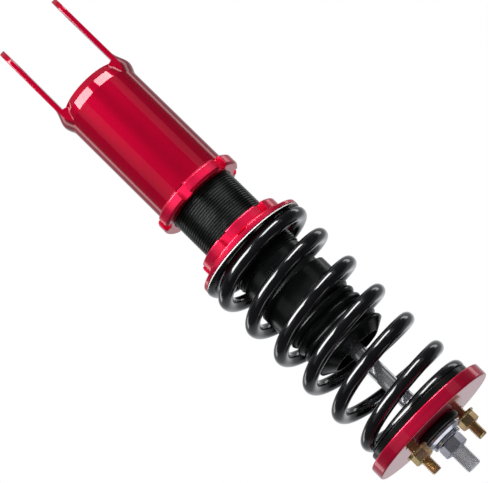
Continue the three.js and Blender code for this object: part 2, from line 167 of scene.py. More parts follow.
def new_tree(title, inputs, kind="GeometryNodeTree"):
    """An empty tree with named inputs; inputs maps a name to the kind of its socket."""
    tree = bpy.data.node_groups.new(title, kind)
    if kind == "GeometryNodeTree":
        tree.interface.new_socket("Geometry", in_out="INPUT", socket_type="NodeSocketGeometry")
        tree.interface.new_socket("Geometry", in_out="OUTPUT", socket_type="NodeSocketGeometry")
    for label, socket in inputs.items():
        tree.interface.new_socket(label, in_out="INPUT", socket_type="NodeSocket" + socket)
    return tree, tree.nodes.new("NodeGroupInput").outputs


def add(tree, kind, feeds=None, **settings):
    """Adds a node. feeds maps an input's name or number to a value, or to the socket that feeds it."""
    node = tree.nodes.new(kind)
    for key, value in settings.items():
        setattr(node, key, value)
    for key, value in (feeds or {}).items():
        if isinstance(value, bpy.types.NodeSocket):
            tree.links.new(value, node.inputs[key])
        else:
            node.inputs[key].default_value = value
    return node


def calc(tree, operation, *terms):
    """One step of arithmetic in a tree."""
    return add(tree, "ShaderNodeMath", dict(enumerate(terms)), operation=operation).outputs[0]


def close_tree(tree, geometry, inputs):
    """Ends a tree in plain geometry that carries the material, welded at its seams."""
    plain = add(tree, "GeometryNodeRealizeInstances", {"Geometry": geometry})
    welded = add(tree, "GeometryNodeMergeByDistance", {"Geometry": plain.outputs[0], "Distance": WELD})
    coated = add(tree, "GeometryNodeSetMaterial", {
        "Geometry": welded.outputs[0], "Material": inputs["Material"],
    })
    add(tree, "NodeGroupOutput", {0: coated.outputs[0]})
    return tree


def grown(made, tree, **sizes):
    """Runs a tree on an object and keeps the result as its plain mesh. A_name stands for 'A name'."""
    modifier = made.modifiers.new(tree.name, "NODES")
    modifier.node_group = tree
    wanted = {key.replace("_", " "): value for key, value in sizes.items()}
    for item in tree.interface.items_tree:
        if item.in_out == "INPUT" and item.name in wanted:
            modifier[item.identifier] = wanted.pop(item.name)
    assert not wanted, f"{tree.name} has no input named {sorted(wanted)}"
    seen = made.evaluated_get(bpy.context.evaluated_depsgraph_get())
    mesh = bpy.data.meshes.new_from_object(seen)
    made.modifiers.clear()
    made.data = mesh
    mesh.name = made.name
    return made


def outwards(made):
    """Points the faces of a closed mesh outwards."""
    shape = bmesh.new()
    shape.from_mesh(made.data)
    bmesh.ops.recalc_face_normals(shape, faces=shape.faces)
    shape.to_mesh(made.data)
    shape.free()
    return made


# %% Repeat a shape round the Z axis


def repeat_tree():
    """A tree that repeats a shape Count times round the Z axis, from First turn on."""
    tree, given = new_tree("repeat_round_axis", {
        "Count": "Int", "First turn": "Float", "Material": "Material",
    })
    whole = add(tree, "GeometryNodeGeometryToInstance", {0: given["Geometry"]})
    copies = add(tree, "GeometryNodeDuplicateElements", {
        "Geometry": whole.outputs[0], "Amount": given["Count"],
    }, domain="INSTANCE")
    share = calc(tree, "DIVIDE", copies.outputs["Duplicate Index"], given["Count"])
    turn = calc(tree, "MULTIPLY_ADD", share, FULL_TURN, given["First turn"])
    rotation = add(tree, "FunctionNodeAxisAngleToRotation", {"Axis": (0, 0, 1), "Angle": turn})
    placed = add(tree, "GeometryNodeRotateInstances", {
        "Instances": copies.outputs[0], "Rotation": rotation.outputs[0], "Local Space": False,
    })
    return close_tree(tree, placed.outputs[0], given)


repeat_round_axis = repeat_tree()
print(repeat_round_axis.name, "has", len(repeat_round_axis.nodes), "nodes")

# %% [markdown]
# A screw thread has a crest flat, two flanks 60 degrees apart and a root flat. The strip below carries
# those four faces once round for each turn and welds to itself a pitch higher. Near both ends the crest
# sinks to the root, which is the chamfer that a real die leaves, and the strip then ends in a plain
# circle that welds to the turned body it was given.

# %% Wind a thread


def thread_tree():
    """A tree that adds a right-hand thread between Bottom and Top to the open shell it is given."""
    tree, given = new_tree("helical_thread", {
        "Radius": "Float", "Pitch": "Float", "Depth": "Float", "Bottom": "Float", "Top": "Float",
        "Segments": "Int", "Material": "Material",
    })
    length = calc(tree, "SUBTRACT", given["Top"], given["Bottom"])
    turns = calc(tree, "ADD", calc(tree, "CEIL", calc(tree, "DIVIDE", length, given["Pitch"])), 1)
    steps = calc(tree, "MULTIPLY", turns, given["Segments"])
    strip = add(tree, "GeometryNodeMeshGrid", {
        "Size X": steps, "Size Y": 4, "Vertices X": calc(tree, "ADD", steps, 1), "Vertices Y": 5,
    })
    place = add(tree, "ShaderNodeSeparateXYZ", {0: add(tree, "GeometryNodeInputPosition").outputs[0]})
    step = calc(tree, "ADD", place.outputs["X"], calc(tree, "DIVIDE", steps, 2))
    edge = calc(tree, "ROUND", calc(tree, "ADD", place.outputs["Y"], 2))

    def by_edge(*values):
        """A number for each of the strip's five long edges, from one crest to the next."""
        switch = add(tree, "GeometryNodeIndexSwitch", data_type="FLOAT")
        for _ in values[2:]:
            switch.index_switch_items.new()
        tree.links.new(edge, switch.inputs["Index"])
        for i, value in enumerate(values):
            switch.inputs[i + 1].default_value = value
        return switch.outputs[0]

    turn = calc(tree, "DIVIDE", step, given["Segments"])
    climbed = calc(tree, "ADD", calc(tree, "SUBTRACT", turn, 1), by_edge(0, 0.125, 0.4375, 0.6875, 1))
    free = calc(tree, "MULTIPLY_ADD", climbed, given["Pitch"], given["Bottom"])
    height = calc(tree, "MAXIMUM", calc(tree, "MINIMUM", free, given["Top"]), given["Bottom"])
    to_end = calc(tree, "MINIMUM", calc(tree, "SUBTRACT", height, given["Bottom"]),
                  calc(tree, "SUBTRACT", given["Top"], height))
    from_end = calc(tree, "MINIMUM", calc(tree, "DIVIDE", to_end, given["Pitch"]), 1)
    chamfer = calc(tree, "SUBTRACT", 1, from_end)
    sunk = calc(tree, "MAXIMUM", chamfer, by_edge(0, 0, 1, 1, 0))
    radius = calc(tree, "SUBTRACT", given["Radius"], calc(tree, "MULTIPLY", sunk, given["Depth"]))
    angle = calc(tree, "MULTIPLY", calc(tree, "FRACT", turn), FULL_TURN)
    point = add(tree, "ShaderNodeCombineXYZ", {
        "X": calc(tree, "MULTIPLY", radius, calc(tree, "COSINE", angle)),
        "Y": calc(tree, "MULTIPLY", radius, calc(tree, "SINE", angle)), "Z": height,
    })
    wound = add(tree, "GeometryNodeSetPosition", {
        "Geometry": strip.outputs[0], "Position": point.outputs[0],
    })
    joined = add(tree, "GeometryNodeJoinGeometry", {0: wound.outputs[0]})
    tree.links.new(given["Geometry"], joined.inputs[0])
    return close_tree(tree, joined.outputs[0], given)


helical_thread = thread_tree()
THREAD_DEPTH = 0.6134  # depth of an ISO external thread, in pitches


def threaded(made, radius, pitch, bottom, top, segments, material):
    """Winds an ISO thread onto an open turned shell; all sizes in millimetres."""
    return outwards(grown(
        made, helical_thread, Radius=radius * MM, Pitch=pitch * MM, Depth=THREAD_DEPTH * pitch * MM,
        Bottom=bottom * MM, Top=top * MM, Segments=segments, Material=material,
    ))


print(helical_thread.name, "has", len(helical_thread.nodes), "nodes")

# %% [markdown]
# ## Finishes
# Each finish is one material. What more than one of them shows, such as the fine rings that a lathe
# leaves or a slow mottle in the gloss, is a shader node group with its own sizes. A group gives out only
# values, and the Principled shader that uses them stays in the material.

# %% Shader groups for lathe rings, mottle and metal flake


def close_group(tree, **outputs):
    """Gives a shader group its outputs."""
    end = tree.nodes.new("NodeGroupOutput")
    for label, socket in outputs.items():
        tree.interface.new_socket(label, in_out="OUTPUT", socket_type="NodeSocketFloat")
        tree.links.new(socket, end.inputs[label])
    return tree


def place_on_object(tree):
    """The point being shaded, in the object's own metres."""
    return add(tree, "ShaderNodeTexCoord").outputs["Object"]


def lathe_rings_group():
    """Fine rings round the Z axis. Fineness is in rings per metre, roughly."""
    tree, given = new_tree("lathe_rings", {"Fineness": "Float"}, "ShaderNodeTree")
    place = add(tree, "ShaderNodeSeparateXYZ", {0: place_on_object(tree)})
    x_squared = calc(tree, "MULTIPLY", place.outputs["X"], place.outputs["X"])
    y_squared = calc(tree, "MULTIPLY", place.outputs["Y"], place.outputs["Y"])
    radius = calc(tree, "SQRT", calc(tree, "ADD", x_squared, y_squared))
    across = add(tree, "ShaderNodeCombineXYZ", {"X": radius, "Y": place.outputs["Z"]})
    noise = add(tree, "ShaderNodeTexNoise", {
        "Vector": across.outputs[0], "Scale": given["Fineness"], "Detail": 3.0, "Roughness": 0.6,
    }, noise_dimensions="2D")
    return close_group(tree, Value=noise.outputs["Fac"])


def mottle_group():
    """A slow change between Low and High over patches of a given scale."""
    tree, given = new_tree("mottle", {"Scale": "Float", "Low": "Float", "High": "Float"}, "ShaderNodeTree")
    noise = add(tree, "ShaderNodeTexNoise", {
        "Vector": place_on_object(tree), "Scale": given["Scale"], "Detail": 4.0, "Roughness": 0.55,
    })
    spread = add(tree, "ShaderNodeMapRange", {
        "Value": noise.outputs["Fac"], "From Min": 0.3, "From Max": 0.7,
        "To Min": given["Low"], "To Max": given["High"],
    })
    return close_group(tree, Value=spread.outputs["Result"])


def flake_group():
    """Metal flake under a clear coat: each small cell catches the light a little differently."""
    tree, given = new_tree("metal_flake", {"Scale": "Float"}, "ShaderNodeTree")
    cells = add(tree, "ShaderNodeTexVoronoi", {"Vector": place_on_object(tree), "Scale": given["Scale"]})
    grey = add(tree, "ShaderNodeRGBToBW", {0: cells.outputs["Color"]})
    return close_group(tree, Value=grey.outputs[0])


lathe_rings, mottle, metal_flake = lathe_rings_group(), mottle_group(), flake_group()


def pattern(tree, group, **sizes):
    """Places a shader group in a material and gives out its value."""
    node = add(tree, "ShaderNodeGroup", node_tree=group)
    for label, value in sizes.items():
        node.inputs[label].default_value = value
    return node.outputs["Value"]


def mottled(tree, scale):
    """The mottle group over its full range, for patches of a given scale."""
    return pattern(tree, mottle, Scale=scale, Low=0.0, High=1.0)


print("shader groups:", lathe_rings.name, mottle.name, metal_flake.name)

# %% [markdown]
# A finish starts as a Principled shader with its constants on the shader's own sockets. The patterns
# then mix two close colours, shift the roughness a little, and raise a bump of a few micrometres.

# %% Start a finish


def finish(name, roughness, metallic=0.0, **extra):
    """A material with one Principled shader. extra names its other sockets, with _ for a space."""
    material = bpy.data.materials.new(name)
    material.use_nodes = True
    tree = material.node_tree
    tree.nodes.clear()
    shader = add(tree, "ShaderNodeBsdfPrincipled", {"Roughness": roughness, "Metallic": metallic})
    for label, value in extra.items():
        shader.inputs[label.replace("_", " ")].default_value = value
    add(tree, "ShaderNodeOutputMaterial", {"Surface": shader.outputs[0]})
    return material, tree, shader


def tint(tree, shader, share, dark, light):
    """Mixes two colours by a pattern into the base colour."""
    mix = add(tree, "ShaderNodeMix", {0: share}, data_type="RGBA")
    mix.inputs[6].default_value = (*dark, 1)
    mix.inputs[7].default_value = (*light, 1)
    tree.links.new(mix.outputs[2], shader.inputs["Base Color"])


def roughen(tree, shader, share, low, high):
    """Spreads a 0 to 1 pattern over a range of roughness."""
    spread = add(tree, "ShaderNodeMapRange", {"Value": share, "To Min": low, "To Max": high})
    tree.links.new(spread.outputs["Result"], shader.inputs["Roughness"])


def emboss(tree, shader, height, depth, strength=1.0):
    """Raises a pattern by a depth in metres."""
    bump = add(tree, "ShaderNodeBump", {"Height": height, "Distance": depth, "Strength": strength})
    tree.links.new(bump.outputs[0], shader.inputs["Normal"])


# %% Red finishes: candy paint over flake, and anodised aluminium


def candy_red_finish():
    """Deep red candy paint over fine metal flake, under a thick clear coat."""
    material, tree, shader = finish(
        "candy_red_paint", 0.36, 0.35, Specular_IOR_Level=0.0, Coat_Weight=1.0, Coat_Roughness=0.05,
    )
    flake = pattern(tree, metal_flake, Scale=2600.0)
    tint(tree, shader, flake, (0.24, 0.0, 0.012), (0.28, 0.0, 0.016))
    roughen(tree, shader, mottled(tree, 40.0), 0.33, 0.41)
    return material


def red_anodised_finish():
    """Turned aluminium, dyed crimson in its oxide layer, with fine tool rings."""
    material, tree, shader = finish(
        "red_anodised_aluminium", 0.42, 0.8, Coat_Weight=1.0, Coat_Roughness=0.08,
    )
    rings = pattern(tree, lathe_rings, Fineness=900.0)
    tint(tree, shader, rings, (0.66, 0.001, 0.042), (0.80, 0.004, 0.066))
    roughen(tree, shader, rings, 0.32, 0.42)
    emboss(tree, shader, rings, 8e-6, 0.5)
    return material


candy_red = candy_red_finish()
red_anodised = red_anodised_finish()
print("made", candy_red.name, "and", red_anodised.name)

# %% Black finishes: thread, powder coat and rubber


def black_thread_finish():
    """Black oxide on a threaded steel tube, faintly oily."""
    material, tree, shader = finish("black_oxide_thread", 0.3, 0.95)
    patches = mottled(tree, 70.0)
    tint(tree, shader, patches, (0.050, 0.056, 0.053), (0.090, 0.098, 0.094))
    roughen(tree, shader, patches, 0.24, 0.34)
    return material


def black_coat_finish():
    """Glossy black coat on spring steel, with the faint ripple of a sprayed film."""
    material, tree, shader = finish("gloss_black_coat", 0.16, Coat_Weight=1.0, Coat_Roughness=0.05)
    film = mottled(tree, 160.0)
    tint(tree, shader, film, (0.002, 0.002, 0.003), (0.004, 0.004, 0.005))
    roughen(tree, shader, film, 0.12, 0.20)
    emboss(tree, shader, film, 1.5e-5, 0.5)
    return material


def black_rubber_finish():
    """Moulded rubber: a soft sheen, fine pits and a little bloom in patches."""
    material, tree, shader = finish("moulded_rubber", 0.25, Specular_IOR_Level=0.45)
    pits = mottled(tree, 1500.0)
    bloom = mottled(tree, 60.0)
    tint(tree, shader, bloom, (0.002, 0.0026, 0.0024), (0.005, 0.0060, 0.0055))
    roughen(tree, shader, bloom, 0.20, 0.28)
    emboss(tree, shader, pits, 2e-5, 0.4)
    return material


black_thread = black_thread_finish()
black_coat = black_coat_finish()
black_rubber = black_rubber_finish()
print("made", black_thread.name, black_coat.name, black_rubber.name)

# %% Bright finishes: chrome, zinc, bare metal, nylon and urethane


ROD_THREAD_BOTTOM = 424.0


def chrome_finish():
    """Ground and polished hard chrome; the threaded end above it is satin zinc."""
    material, tree, shader = finish("hard_chrome", 0.12, 1.0)
    rings = pattern(tree, lathe_rings, Fineness=2500.0)
    tint(tree, shader, rings, (0.78, 0.79, 0.83), (0.86, 0.87, 0.90))
    height = add(tree, "ShaderNodeSeparateXYZ", {0: place_on_object(tree)}).outputs["Z"]
    satin = calc(tree, "GREATER_THAN", height, ROD_THREAD_BOTTOM * MM)
    roughen(tree, shader, satin, 0.12, 0.30)
    bare = add(tree, "ShaderNodeMapRange", {"Value": satin, "To Min": 0.85, "To Max": 0.4})
    tree.links.new(bare.outputs["Result"], shader.inputs["Metallic"])
    return material


def bright_zinc_finish():
    """Clear zinc plate, with a faint blue cast."""
    material, tree, shader = finish("bright_zinc_plate", 0.25, 0.9)
    patches = mottled(tree, 220.0)
    tint(tree, shader, patches, (0.72, 0.76, 0.90), (0.86, 0.86, 0.92))
    roughen(tree, shader, patches, 0.17, 0.28)
    emboss(tree, shader, patches, 4e-6, 0.3)
    return material


def yellow_zinc_finish():
    """Yellow chromate over zinc, whose thin film turns from gold to pink and green."""
    material, tree, shader = finish("yellow_zinc_plate", 0.28, 0.95)
    film = mottled(tree, 130.0)
    ramp = add(tree, "ShaderNodeValToRGB", {0: film})
    ramp.color_ramp.elements[0].color = (0.72, 0.62, 0.30, 1)
    ramp.color_ramp.elements[1].color = (0.90, 0.52, 0.36, 1)
    ramp.color_ramp.elements.new(0.45).color = (0.88, 0.64, 0.32, 1)
    tree.links.new(ramp.outputs[0], shader.inputs["Base Color"])
    roughen(tree, shader, film, 0.18, 0.28)
    emboss(tree, shader, film, 4e-6, 0.3)
    return material


def plain_metal_finish(name, dark, light, roughness):
    """Bare turned metal with fine tool rings."""
    material, tree, shader = finish(name, roughness, 1.0)
    rings = pattern(tree, lathe_rings, Fineness=1400.0)
    tint(tree, shader, rings, dark, light)
    roughen(tree, shader, rings, roughness - 0.08, roughness + 0.08)
    emboss(tree, shader, rings, 6e-6, 0.5)
    return material


def soft_finish(name, dark, light, roughness, scale, depth):
    """A plastic or foam with a fine grain of a given scale and depth."""
    material, tree, shader = finish(name, roughness)
    grain = mottled(tree, scale)
    tint(tree, shader, grain, dark, light)
    roughen(tree, shader, grain, roughness - 0.06, roughness + 0.06)
    emboss(tree, shader, grain, depth, 0.5)
    return material


chrome = chrome_finish()
bright_zinc = bright_zinc_finish()
yellow_zinc = yellow_zinc_finish()
bare_steel = plain_metal_finish("oiled_steel", (0.36, 0.36, 0.37), (0.50, 0.50, 0.51), 0.3)
bare_aluminium = plain_metal_finish("machined_aluminium", (0.62, 0.63, 0.64), (0.74, 0.75, 0.76), 0.34)
white_nylon = soft_finish("white_nylon", (0.80, 0.79, 0.75), (0.88, 0.87, 0.84), 0.38, 300.0, 5e-6)
urethane = soft_finish("foamed_urethane", (0.62, 0.50, 0.12), (0.74, 0.62, 0.20), 0.7, 900.0, 6e-5)
print("materials made:", len(bpy.data.materials))

# %% [markdown]
# ## Handing a piece over
# Every piece is handed over the same way: it gets its finish, smooth shading that breaks at real edges,
# the body it moves with and the CAD nodes it stands for.

# %% Hand a piece over
EDGE_ANGLE = math.radians(32)


def dressed(made, material, edge_angle=EDGE_ANGLE):
    """Gives a piece its finish and smooth shading that breaks at edges."""
    made.data.materials.clear()
    made.data.materials.append(material)
    made.data.polygons.foreach_set("use_smooth", [True] * len(made.data.polygons))
    made.data.set_sharp_from_angle(angle=edge_angle)
    made.modifiers.new("even_normals", "WEIGHTED_NORMAL").keep_sharp = True
    return made


def softened(made, width=0.2, angle=35):
    """Breaks the edges of a piece by a given width in millimetres."""
    broken = made.modifiers.new("broken_edges", "BEVEL")
    broken.width = width * MM
    broken.segments = 2
    broken.limit_method = "ANGLE"
    broken.angle_limit = math.radians(angle)
    return made


def fitted(made, material, slot, body, *nodes, edge_angle=EDGE_ANGLE):
    """Hands a piece over: finish, body and replaced nodes. slot is not used."""
    dressed(made, material, edge_angle)
    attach(made, body)
    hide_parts(*nodes)
    print(f"{made.name}: {len(made.data.polygons)} faces, on {body}, for {', '.join(nodes)}")
    return made


# %% [markdown]
# ## Lower bracket
# The bracket is a forged cup with two flat prongs, machined where it takes the tube, and painted. The cup
# is turned: a short steep band and a flatter one lead from its rim to the straight barrel. A prong is a
# stack of cross-sections from its round tip up to the ear, where it swells and sinks back into the cup.
# Both are joined with a boolean, because the real forging is one piece of metal.

# %% The cup
CUP_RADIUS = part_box("lower_bracket")[1].y / MM
CUP_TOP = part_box("lower_bracket")[1].z / MM
EAR_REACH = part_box("lower_bracket")[1].x / MM
CUP_BOTTOM, CUP_FLOOR, CUP_BORE, DRAIN = 69.0, 83.0, 27.4, 4.0
CUP_SIDES, PAST = 160, 2.0  # PAST is how far a cutting tool reaches past the metal


def cup():
    """The outside of the bracket's cup, still solid."""
    return turned("bracket_forging", [
        (0, CUP_BOTTOM), (26.7, CUP_BOTTOM, 0.9), (29.35, 74.8, 1.2), (CUP_RADIUS, 81.4, 3.0),
        (CUP_RADIUS, CUP_TOP, 0.7), (0, CUP_TOP),
    ], segments=CUP_SIDES)


def bore():
    """What is machined out of the cup: the bore for the tube, and the drain under it."""
    return turned("bore_tool", [
        (0, CUP_BOTTOM - PAST), (DRAIN, CUP_BOTTOM - PAST), (DRAIN, CUP_FLOOR), (CUP_BORE, CUP_FLOOR, 1.5),
        (CUP_BORE, CUP_TOP - 0.6), (CUP_BORE + 1.2, CUP_TOP + 0.6), (0, CUP_TOP + 0.6),
    ], segments=CUP_SIDES)


# %% A prong and its ear
PRONG_INSIDE, PRONG_OUTSIDE, PRONG_HALF_WIDTH = 25.0, 29.0, 18.0
FLARE_BOTTOM, FLARE_PEAK, FLARE_TOP = 62.0, 75.0, 86.0
EAR_ROOT, EAR_SINK, TIP_EASE = 4.0, 0.5, 1.4
BOLT_HEIGHT, BOLT_HOLE, BOLT_CHAMFER, DRILL_END = 19.0, 6.1, 0.6, 40.0


def ease(low, high, at):
    """0 below low, 1 above high, and a smooth rise between them."""
    share = max(0.0, min(1.0, (at - low) / (high - low)))
    return share * share * (3 - 2 * share)


def prong_section(height, across=12):
    """The closed outline of a prong at a height: a bar whose outer side turns into the ear's arc."""
    drop = max(PRONG_HALF_WIDTH - height, 0)
    half_width = math.sqrt(max(PRONG_HALF_WIDTH ** 2 - drop ** 2, 0.01))
    thin = math.sqrt(1 - (1 - min(height / TIP_EASE, 1)) ** 2)
    swell = ease(FLARE_BOTTOM, FLARE_PEAK, height)
    reach = EAR_REACH + (CUP_RADIUS - EAR_SINK - EAR_REACH) * ease(FLARE_PEAK, FLARE_TOP, height)
    middle = (PRONG_INSIDE + PRONG_OUTSIDE) / 2
    inside = PRONG_INSIDE - (0 if height <= CUP_BOTTOM + EAR_SINK else EAR_ROOT)
    outer, inner = [], []
    for k in range(across + 1):
        y = half_width * (2 * k / across - 1)
        bulge = PRONG_OUTSIDE + (math.sqrt(reach ** 2 - y ** 2) - PRONG_OUTSIDE) * swell
        outer.append((middle + (bulge - middle) * thin, y))
        inner.append((middle + (inside - middle) * thin, -y))
    fillet = max(0.05, min(1.1, 0.8 * thin, half_width / 3))
    ends = (0, across)
    outline = [(*point, fillet) if k in ends else point for k, point in enumerate(outer)]
    outline += [(*point, fillet) if k in ends else point for k, point in enumerate(inner)]
    return rounded(outline)


def capped(made):
    """Closes the open ends of a mesh with flat faces."""
    shape = bmesh.new()
    shape.from_mesh(made.data)
    rim = [edge for edge in shape.edges if edge.is_boundary]
    bmesh.ops.holes_fill(shape, edges=rim)
    bmesh.ops.recalc_face_normals(shape, faces=shape.faces)
    shape.to_mesh(made.data)
    shape.free()
    return made


def prong():
    """A prong from its round tip to the top of the ear; its ends are closed with flat caps."""
    tip = [PRONG_HALF_WIDTH * (1 - math.cos(math.pi / 2 * k / 18)) for k in range(1, 19)]
    bar = [PRONG_HALF_WIDTH + (FLARE_BOTTOM - PRONG_HALF_WIDTH) * k / 8 for k in range(1, 9)]
    ear = [FLARE_BOTTOM + (FLARE_TOP - FLARE_BOTTOM) * k / 26 for k in range(1, 27)]
    rows = [[Vector((*point, z)) for point in prong_section(z)] for z in tip + bar + ear]
    return capped(skinned("prong_blank", rows, round_again=False))


# %% Join and cut solids


def combined(made, other, operation):
    """Joins another solid to a piece, or cuts it away, and removes the other object."""
    modifier = made.modifiers.new("joined_solid", "BOOLEAN")
    modifier.operation = operation
    modifier.solver = "EXACT"
    modifier.object = other
    seen = made.evaluated_get(bpy.context.evaluated_depsgraph_get())
    mesh = bpy.data.meshes.new_from_object(seen)
    made.modifiers.clear()
    made.data = mesh
    bpy.data.objects.remove(other)
    return made


def joined_meshes(made, other):
    """Adds another object's mesh to a piece and removes the other object."""
    shape = bmesh.new()
    shape.from_mesh(made.data)
    shape.from_mesh(other.data)
    shape.to_mesh(made.data)
    shape.free()
    bpy.data.objects.remove(other)
    return made


def moved(made, x=0.0, y=0.0, z=0.0):
    """Moves the mesh itself, in millimetres; the object stays at the origin."""
    made.data.transform(Matrix.Translation((x * MM, y * MM, z * MM)))
    return made


def along_x(made, height):
    """Lays a turned shape along the X axis, at a height in millimetres."""
    made.data.transform(Matrix.Translation((0, 0, height * MM)) @ Matrix.Rotation(math.pi / 2, 4, "Y"))
    return made


# %% The bracket: cup, two prongs, bolt holes
lower_bracket = cup()
both_prongs = grown(prong(), repeat_round_axis, Count=2, First_turn=0.0, Material=candy_red)
lower_bracket = combined(lower_bracket, both_prongs, "UNION")
DRILL_MOUTH = BOLT_HOLE + BOLT_CHAMFER
drill = along_x(turned("drill", [
    (0, -DRILL_END), (DRILL_MOUTH, -DRILL_END), (DRILL_MOUTH, -PRONG_OUTSIDE),
    (BOLT_HOLE, BOLT_CHAMFER - PRONG_OUTSIDE), (BOLT_HOLE, PRONG_OUTSIDE - BOLT_CHAMFER),
    (DRILL_MOUTH, PRONG_OUTSIDE), (DRILL_MOUTH, DRILL_END), (0, DRILL_END),
], segments=64), BOLT_HEIGHT)
lower_bracket = combined(lower_bracket, drill, "DIFFERENCE")
lower_bracket = combined(lower_bracket, bore(), "DIFFERENCE")
fitted(lower_bracket, candy_red, "candy_red", "bracket", "lower_bracket")

# %% [markdown]
# ## Lock rings and spring perch
# Both lock rings are turned, then milled with six square slots for a C-spanner; the same slots run up
# the hub of the spring perch. One tooth with half a slot on either side is a sixth of a ring, so only
# that sector is drawn. Its slot walls are parallel, as an end mill leaves them.

# %% One sixth of a slotted ring
SLOT_HALF_WIDTH = 3.8
SIXTH = math.radians(30)


def slotted_sector(name, corners, floor, deepest=1e9):
    """A tooth with half a slot on each side. Corners below deepest are milled down to the floor radius."""
    outline = rounded(corners)

    def milled(r, z):
        return min(r, floor) if z < deepest else r

    def wall(side, point):
        r, z = point
        reach = r if z < deepest else floor
        turn = side * (SIXTH - math.asin(SLOT_HALF_WIDTH / max(reach, floor)))
        return Vector((r * math.cos(turn), r * math.sin(turn), z))

    slot = [(milled(r, z), z) for r, z in outline]
    foot = SIXTH - math.asin(SLOT_HALF_WIDTH / floor)
    tooth = SIXTH - math.asin(SLOT_HALF_WIDTH / max(r for r, z in outline if z < deepest))
    rows = [upright(slot, -SIXTH), upright(slot, -(SIXTH + foot) / 2), upright(slot, -foot)]
    rows.append([wall(-1, point) for point in outline])
    rows += [upright(outline, tooth * k / 6) for k in range(-5, 6)]
    rows.append([wall(1, point) for point in outline])
    rows += [upright(slot, foot), upright(slot, (SIXTH + foot) / 2), upright(slot, SIXTH)]
    return skinned(name, rows, round_again=False)


def slotted(name, corners, floor, slot_turn, material, deepest=1e9):
    """A ring with six slots, one of them at slot_turn degrees."""
    sector = slotted_sector(name, corners, floor, deepest)
    first = math.radians(slot_turn) - SIXTH
    made = outwards(grown(sector, repeat_round_axis, Count=6, First_turn=first, Material=material))
    return softened(made, 0.35, 40)


RING_BORE, SLOT_FLOOR = 27.4, 31.0

# %% The two lock rings


def spanner_ring(name, node, chamfer, slot_turn, body):
    """A lock ring with chamfered rims and six spanner slots."""
    radius, bottom, top = span(node)
    ring = slotted(name, [
        (RING_BORE, bottom), (SLOT_FLOOR, bottom), (radius - chamfer, bottom), (radius, bottom + chamfer),
        (radius, top - chamfer), (radius - chamfer, top), (SLOT_FLOOR, top), (RING_BORE, top),
    ], SLOT_FLOOR, slot_turn, red_anodised)
    return fitted(ring, red_anodised, "red_anodised", body, node)


spanner_ring("bracket_spanner_ring", "bracket_lock_ring", 1.5, 40, "bracket_lock")
spanner_ring("perch_spanner_ring", "perch_lock_ring", 0.8, 45, "perch_lock")

# %% The spring perch and the washer under the spring
HUB_RADIUS, HUB_HEIGHT, HUB_FLOOR, SPIGOT_RADIUS, FLANGE_TOP = 39.0, 3.1, 34.5, 33.7, 238.1
radius, bottom, top = span("spring_perch")
hub_top = bottom + HUB_HEIGHT
perch = slotted("spring_perch_body", [
    (RING_BORE, bottom), (HUB_FLOOR, bottom), (HUB_RADIUS - 0.6, bottom), (HUB_RADIUS, bottom + 0.6),
    (HUB_RADIUS, hub_top - 0.01), (radius, hub_top), (radius, FLANGE_TOP),
    (SPIGOT_RADIUS, FLANGE_TOP), (SPIGOT_RADIUS, top - 1), (SPIGOT_RADIUS - 1, top), (RING_BORE, top),
], HUB_FLOOR, 25, red_anodised, deepest=hub_top - 0.005)
fitted(perch, red_anodised, "red_anodised", "perch", "spring_perch")
radius, bottom, top = span("spring_seat_washer")
fitted(turned("seat_washer", ring_outline(SPIGOT_RADIUS + 0.3, radius, bottom, top, 0.3, 0.3), 160),
       white_nylon, "white_nylon", "spring_seat", "spring_seat_washer")

# %% [markdown]
# ## Damper tube, rod and boot
# The tube carries a 2 mm thread over most of its length and ends in a short plain part under the boot.
# The rod is ground and chromed, and its last part carries a fine thread. The boot is moulded in one
# piece: a skirt that grips the tube, six ribs, and a cone with a wide mouth that the bump stop shows
# through.

# %% The threaded tube
radius, bottom, top = span("threaded_tube")
TUBE_PITCH, TUBE_THREAD_TOP, TUBE_SIDES = 2.0, 258.0, 96
PLAIN_RADIUS, TUBE_BORE, TUBE_FLOOR = 26.4, 23.5, 6.0
root = radius - THREAD_DEPTH * TUBE_PITCH
tube = turned("damper_body", [
    (root, TUBE_THREAD_TOP), (PLAIN_RADIUS, TUBE_THREAD_TOP, 0.3), (PLAIN_RADIUS, top, 0.6),
    (TUBE_BORE, top, 0.4), (TUBE_BORE, bottom + TUBE_FLOOR, 1.0), (0, bottom + TUBE_FLOOR),
    (0, bottom), (root, bottom),
], segments=TUBE_SIDES, closed=False)
tube = threaded(tube, radius, TUBE_PITCH, bottom, TUBE_THREAD_TOP, TUBE_SIDES, black_thread)
fitted(tube, black_thread, "black_thread", "damper_tube", "threaded_tube")

# %% The piston rod
radius, bottom, top = span("piston_rod")
SPIGOT, SHOULDER, GROOVE, GROOVE_BOTTOM, GROOVE_TOP = 4.8, 251.7, 5.3, 397.3, 399.1
ROD_THREAD, ROD_PITCH, ROD_SIDES = 6.0, 1.25, 64
root = ROD_THREAD - THREAD_DEPTH * ROD_PITCH
rod = turned("rod_with_thread", [
    (root, ROD_THREAD_BOTTOM), (ROD_THREAD, ROD_THREAD_BOTTOM), (ROD_THREAD, GROOVE_TOP, 0.2),
    (GROOVE, GROOVE_TOP), (GROOVE, GROOVE_BOTTOM), (radius, GROOVE_BOTTOM, 0.2),
    (radius, SHOULDER, 0.4), (SPIGOT, SHOULDER), (SPIGOT, bottom, 0.5), (0, bottom),
    (0, top), (root, top),
][::-1], segments=ROD_SIDES, closed=False)
rod = threaded(rod, ROD_THREAD, ROD_PITCH, ROD_THREAD_BOTTOM, top, ROD_SIDES, chrome)
fitted(rod, chrome, "chrome", "top_mount", "piston_rod")

